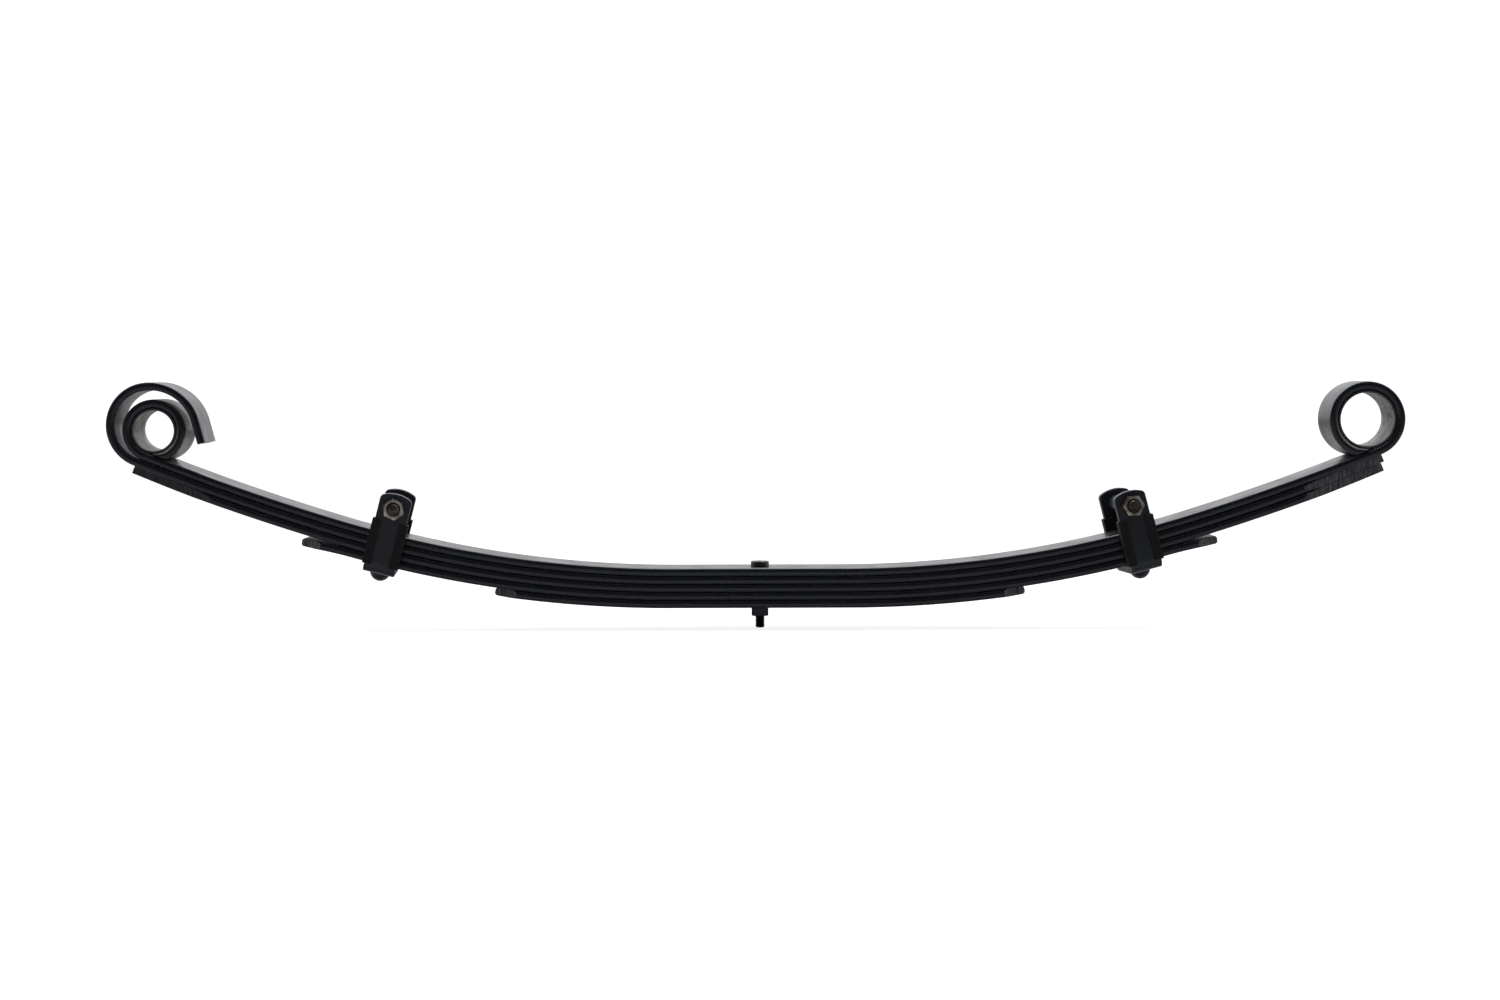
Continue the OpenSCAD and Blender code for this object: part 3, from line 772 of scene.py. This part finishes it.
def ride_as(piece, body, node):
    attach(piece, body)
    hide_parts(node)


# %% [markdown]
# ## Eye sleeves
# A steel sleeve lines each eye, and a rubber bush is pressed into it when the spring
# is fitted. It is a tube, so its ring of section points is joined to itself right
# round. It sits a little inside the bar's edges, and a step at each end leaves a dark
# groove round it. The bore is bare and blotchy, the end faces took the black paint.

# %% Sleeves
SINK, CHAMFER, GROOVE, GROOVE_DEEP = 0.0016, 0.0003, 0.0011, 0.0016
for label in ("front", "rear"):
    centre, bore = eyes[label + "_eye"]
    outer, half = bore + WALL - 0.00002, LEAF_W / 2 - SINK
    far_end = [(outer, half - GROOVE_DEEP - 0.0008), (outer - GROOVE, half - GROOVE_DEEP),
               (outer - GROOVE, half), (bore + CHAMFER, half), (bore, half - CHAMFER)]
    near_end = [(radius, -height) for radius, height in far_end[::-1]]
    rows = np.array(near_end + far_end)
    tube = circle_rings(rows[:, 0], rows[:, 1], 96)
    upright = Matrix.Translation(centre.tolist()) @ Matrix.Rotation(np.pi / 2, 4, "X")
    bare = np.repeat((rows[:, 0] < bore + CHAMFER / 2)[:, None] * 1.0, 96, axis=1)
    sleeve = loft(label + "_eye_lining", placed(tube, upright), sleeve_steel, joined=True,
                  attributes={"bare": bare})
    ride_as(sleeve, label + "_arm", label + "_eye_sleeve")
    print(sleeve.name, "bore", round(2 * bore * 1000, 1), "mm")

# %% [markdown]
# ## Hexagons
# A nut is a hexagonal prism cut by a cone at each end, which is why its corners show
# curved bright chamfers. In polar form the hexagon's radius at angle a is the flat's
# distance over the cosine of the angle to the nearest flat. The cone lowers the face
# wherever that radius passes the chamfer circle.

# %% Nut and head
def hexagon_rings(flats, height, bore, clock=0.0, cone=(True, True), around=120):
    """Rings by angle; each ring is the closed section of the nut at that angle. A
    bore of 0 makes a solid head, closed by a tiny hole that its own skin fills."""
    angle = np.linspace(0, 2 * np.pi, around, endpoint=False)
    to_flat = (np.degrees(angle) % 60.0) - 30.0
    corner = flats / 2 / np.cos(np.radians(to_flat))
    edge = flats / 2 * 0.985
    low = np.where(cone[0], (corner - edge) * np.tan(np.radians(30)), 0)
    high = height - np.where(cone[1], (corner - edge) * np.tan(np.radians(30)), 0)
    mouth = min(bore + 0.0009, edge - 0.001) if bore > 0.0005 else bore
    sink = mouth - bore
    rim = np.full(around, edge)
    r = np.stack([0 * rim + bore, 0 * rim + mouth, rim, corner, corner, rim,
                  0 * rim + mouth, 0 * rim + bore], axis=1)
    h = np.stack([0 * rim + sink, 0 * rim, 0 * rim, low, high, 0 * rim + height,
                  0 * rim + height, 0 * rim + height - sink], axis=1)
    turned = angle + clock
    return np.stack([r * np.cos(turned)[:, None], r * np.sin(turned)[:, None], h], axis=-1)


# %% [markdown]
# ## Centre bolt
# One bolt holds the pack while it is handled, and its round head drops into a hole in
# the axle's pad, so it also places the axle. Its nut sits under the fifth bar with a
# short end of thread below.

# %% Centre bolt and nut
dowel_low, dowel_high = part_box("centre_bolt")
nut_low, nut_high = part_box("centre_nut")
head_r = (dowel_high[0] - dowel_low[0]) / 2
head_h = dowel_high[2]
a = np.linspace(0, np.pi / 2, 7)
round_over = 0.0012
head_radius = np.concatenate([[head_r - 0.0003, head_r, head_r],
                              head_r - round_over + round_over * np.cos(a)[1:],
                              [head_r * 0.45, 0.0006]])
head_height = np.concatenate([[0.00002, 0.0003, head_h - round_over - 0.0004],
                              head_h - round_over - 0.0004 + round_over * np.sin(a)[1:],
                              [head_h - 0.0002, head_h - 0.00005]])
on_rim = np.abs(head_height - head_h + 0.0009) < 0.0007
rim_wear = np.repeat(on_rim[:, None] * 0.7, 72, axis=1)
head = loft("centre_bolt_head", circle_rings(head_radius, head_height, 72), bolt_black,
            attributes={"edge": rim_wear})
ride_as(head, "leaf_pack", "centre_bolt")

thread_top, thread_tip = nut_high[2] + 0.004, dowel_low[2]
h = np.linspace(thread_tip + 0.0012, thread_top, 110)
thread = thread_radius(h, 48, 0.005, 0.0015, thread_tip + 0.0006, thread_top)
tip_h = np.array([thread_tip, thread_tip + 0.00015, thread_tip + 0.0008])
tip_r = np.repeat(np.array([0.0032, 0.0035, 0.0041])[:, None], 48, axis=1)
stem_rings = circle_rings(np.concatenate([tip_r, thread]), np.concatenate([tip_h, h]), 48)
stem = loft("centre_bolt_stem", stem_rings, bolt_black, sharp=30.0)
ride_as(stem, "leaf_pack", "centre_bolt")

flats = nut_high[0] - nut_low[0]
nut = hexagon_rings(flats, nut_high[2] - nut_low[2] - 0.0001, 0.0049, clock=np.radians(30))
nut[..., 2] += nut_low[2]
centre_nut = loft("centre_bolt_nut", nut, bolt_black, joined=True, sharp=25.0)
ride_as(centre_nut, "leaf_pack", "centre_nut")
print("centre nut across flats", round(flats * 1000, 1), "mm")

# %% [markdown]
# ## Rebound clips
# Two straps keep the bars in line and hold them together when the wheel drops. Each
# is a U of flat bar, riveted under the fourth bar, with arched arms that stand up
# past the pack, a tube and a bolt across the top, and a channel of rubber on each arm
# so that steel never rubs on steel.
#
# A clip is easiest to build in its own frame, with X along the bar and Z square to
# it. One matrix then takes all its points to their place: the slope of the bar there,
# and the few degrees that each clip has turned on its single rivet. A narrow gap under
# the fourth bar leaves room for it to curve as the spring flattens.

# %% Clip frames
CLIP = {"front": -1, "rear": 1}
CLIP_X = {"front": 0.374, "rear": 0.375}
TURN = np.radians(3.7)
CLIP_W, CLIP_T, RISE, CROWN, CROWN_R = 0.032, 0.008, 0.026, 0.015, 0.031
STRAP_GAP = 0.0006
LINER_T, LINER_LIP, LINER_TOP, FIT = 0.002, 0.007, 0.013, 0.0001
liner_half = CLIP_W / 2 + FIT + LINER_T
liner_in = (LEAF_W / 2 + 0.0004) / np.cos(TURN) + liner_half * np.tan(TURN)
arm_in = liner_in + LINER_T + FIT
arm_out = arm_in + CLIP_T
print("arms stand", round(arm_in * 2000, 2), "mm apart inside")


def clip_matrix(label):
    """Matrix of a clip's own frame, whose origin is on the main leaf's top face, and
    the height of the strap's inner face in it."""
    side = CLIP[label]
    slope = slope_at(0, CLIP_X[label])
    chain = rise_to(0, slope)
    point, _, _ = follow(0, chain, np.array([chain_length(chain)]))
    strap_top = -3 * (LEAF_T + BEND_STEP * np.sin(slope)) - LEAF_T - STRAP_GAP
    matrix = (Matrix.Translation((side * point[0, 0], 0, point[0, 1]))
              @ Matrix.Rotation(-side * slope, 4, "Y") @ Matrix.Rotation(TURN, 4, "Z"))
    return matrix, strap_top


# %% [markdown]
# The strap is a slab. Its outer sheet runs down one arm, round two bends and up the
# other: down an arm the height goes from an arched top line to the level of the bend,
# a quarter circle carries it under, and the mirror image climbs back.

# %% Strap
STRAP_BEND, STRAP_CORNER, SHEARED = 0.011, 0.0022, 0.45


def strap_sheet(offset, strap_top):
    """Sheet at offset inside the strap's outer face. Rows run from arm top to arm
    top, columns across the width. The arch is top - (R - sqrt(R^2 - x^2)), with its
    two corners rounded by the same formula at a small radius."""
    x = np.linspace(-CLIP_W / 2, CLIP_W / 2, 25)
    x = np.sign(x) * (CLIP_W / 2) * (np.abs(x) / (CLIP_W / 2)) ** 0.8
    past = np.clip(np.abs(x) - (CLIP_W / 2 - STRAP_CORNER), 0, STRAP_CORNER)
    top = RISE + CROWN - (CROWN_R - np.sqrt(CROWN_R ** 2 - x ** 2))
    top = top - (STRAP_CORNER - np.sqrt(STRAP_CORNER ** 2 - past ** 2 + 1e-12))
    bend_r = STRAP_BEND - offset
    low = strap_top - CLIP_T + offset
    share = np.linspace(1, 0, 26) ** 1.3
    knee = low + bend_r
    arm_z = knee + (top[None, :] - knee) * share[:, None]
    arm_y = np.full_like(arm_z, arm_out - offset)
    turn = np.linspace(0, np.pi / 2, 13)[1:]
    bend_y = np.repeat((arm_out - STRAP_BEND + bend_r * np.cos(turn))[:, None], len(x), axis=1)
    bend_z = np.repeat((knee - bend_r * np.sin(turn))[:, None], len(x), axis=1)
    base_y = np.repeat(np.linspace(arm_out - STRAP_BEND, 0, 8)[1:, None], len(x), axis=1)
    base_z = np.full_like(base_y, low)
    y = np.concatenate([arm_y, bend_y, base_y])
    z = np.concatenate([arm_z, bend_z, base_z])
    y, z = np.concatenate([-y, y[-2::-1]]), np.concatenate([z, z[-2::-1]])
    return np.stack([np.broadcast_to(x, y.shape), y, z], axis=-1)


for label in CLIP:
    matrix, strap_top = clip_matrix(label)
    outer, inner = strap_sheet(0.0, strap_top), strap_sheet(CLIP_T, strap_top)
    on_side = np.abs(np.abs(outer[..., 0]) - CLIP_W / 2) < 0.0008
    worn = np.concatenate([on_side, on_side]) * 1.0
    strap = slab(label + "_clip_band", placed(outer, matrix), placed(inner, matrix),
                 strap_paint, bevel=0.0009,
                 attributes={"edge": worn, "cut": worn * SHEARED})
    ride_as(strap, label + "_clip", label + "_clip_strap")
    print(strap.name, "faces:", len(strap.data.polygons))

# %% [markdown]
# A liner is a channel pushed on over an arm: a web between arm and bars, two sides
# and two lips that hook round the arm's face. Its section is a line of six corners
# for the outside and six for the inside, filled in evenly, and the slab carries it up.

# %% Liners
def channel(corners, per_side=6):
    """Points along a line of corners, evenly spread on each stretch."""
    corners = np.array(corners)
    share = np.linspace(0, 1, per_side, endpoint=False)[None, :, None]
    runs = corners[:-1, None] + (corners[1:] - corners[:-1])[:, None] * share
    return np.concatenate([runs.reshape(-1, 2), corners[-1:]])


lip_y, arm_x = arm_out + FIT, CLIP_W / 2 + FIT
outside = channel([(arm_x - LINER_LIP, lip_y + LINER_T), (liner_half, lip_y + LINER_T),
                   (liner_half, liner_in), (-liner_half, liner_in),
                   (-liner_half, lip_y + LINER_T), (-(arm_x - LINER_LIP), lip_y + LINER_T)])
inside = channel([(arm_x - LINER_LIP, lip_y), (arm_x, lip_y), (arm_x, liner_in + LINER_T),
                  (-arm_x, liner_in + LINER_T), (-arm_x, lip_y), (-(arm_x - LINER_LIP), lip_y)])
for label in CLIP:
    matrix, strap_top = clip_matrix(label)
    web = (np.abs(inside[:, 0]) < arm_x - 1e-6) & (inside[:, 1] < lip_y - 0.001)
    bottom = strap_top + 0.0006 + np.where(web, 0.0026, 0.0)
    share = np.linspace(0, 1, 14)[:, None]
    level = bottom[None, :] + (LINER_TOP - bottom[None, :]) * share
    for place, y_side in (("near", -1), ("far", 1)):
        sheets = [np.stack([np.broadcast_to(line[:, 0], level.shape),
                            np.broadcast_to(y_side * line[:, 1], level.shape), level], axis=-1)
                  for line in (outside, inside)]
        liner = slab(f"{label}_clip_{place}_channel", placed(sheets[0], matrix),
                     placed(sheets[1], matrix), liner_rubber, bevel=0.0004)
        ride_as(liner, label + "_clip", f"{label}_clip_{place}_liner")
print("liners done")

# %% [markdown]
# The clip's bolt goes in from the far side through both arms and the tube between
# them, and a zinc-plated nut closes it on the near side. The rivet's round head shows
# under the strap. Its dome is a slice of a sphere: for a dome of radius a and height
# h, the sphere's radius is (a^2 + h^2) / 2h.

# %% Clip bolt, nut, tube and rivet
FLATS, NUT_H, HEAD_H, BOLT_R = 0.019, 0.010, 0.0075, 0.006
DOME_R, DOME_H = 0.0105, 0.010


def along_bolt(y, matrix):
    """Matrix that stands a turned shape on the bolt's axis, with +Z towards +Y."""
    return matrix @ Matrix.Translation((0, y, RISE)) @ Matrix.Rotation(-np.pi / 2, 4, "X")


for label in CLIP:
    matrix, strap_top = clip_matrix(label)
    body = label + "_clip"
    nut = hexagon_rings(FLATS, NUT_H - 0.0001, 0.0062, clock=np.radians(12))
    nut = loft(label + "_clip_lock_nut", placed(nut, along_bolt(-arm_out - NUT_H, matrix)),
               zinc_plate, joined=True, sharp=25.0)
    ride_as(nut, body, body + "_nut")

    tip = -arm_out - NUT_H - 0.002
    h = np.concatenate([[0.0, 0.0001, 0.0009], np.linspace(0.0012, 0.0125, 72)])
    radius = thread_radius(h, 48, BOLT_R, 0.00175, 0.001, 0.0125)
    radius[0], radius[1], radius[2] = 0.0044, 0.0047, 0.0052
    stem_rings = placed(circle_rings(radius, h, 48), along_bolt(tip, matrix))
    stem = loft(label + "_clip_bolt_end", stem_rings, bolt_steel, sharp=30.0)
    ride_as(stem, body, body + "_bolt")

    head = hexagon_rings(FLATS, HEAD_H, 0.0002, cone=(False, True))
    head = loft(label + "_clip_bolt_head", placed(head, along_bolt(arm_out, matrix)),
                zinc_plate, joined=True, sharp=25.0)
    ride_as(head, body, body + "_bolt")

    reach = arm_in - FIT
    rows = np.array([(0.00625, 0.0004), (0.0066, 0), (0.0081, 0), (0.0085, 0.0004),
                     (0.0085, 2 * reach - 0.0004), (0.0081, 2 * reach),
                     (0.0066, 2 * reach), (0.00625, 2 * reach - 0.0004)])
    tube_rings = placed(circle_rings(rows[:, 0], rows[:, 1], 64), along_bolt(-reach, matrix))
    tube = loft(label + "_clip_tube", tube_rings, strap_paint, joined=True)
    ride_as(tube, body, body + "_spacer")

    ball = (DOME_R ** 2 + DOME_H ** 2) / (2 * DOME_H)
    polar = np.linspace(np.arccos((ball - DOME_H) / ball), 0.03, 16)
    r = np.concatenate([[DOME_R - 0.0004], ball * np.sin(polar)])
    h = np.concatenate([[0.0], -(ball * np.cos(polar) - (ball - DOME_H)) - 0.0002])
    under = matrix @ Matrix.Translation((0, 0, strap_top - CLIP_T))
    dome = placed(circle_rings(r, np.minimum(h, 0), 64), under)
    rivet = loft(label + "_clip_rivet_head", dome, strap_paint)
    ride_as(rivet, body, body + "_rivet")
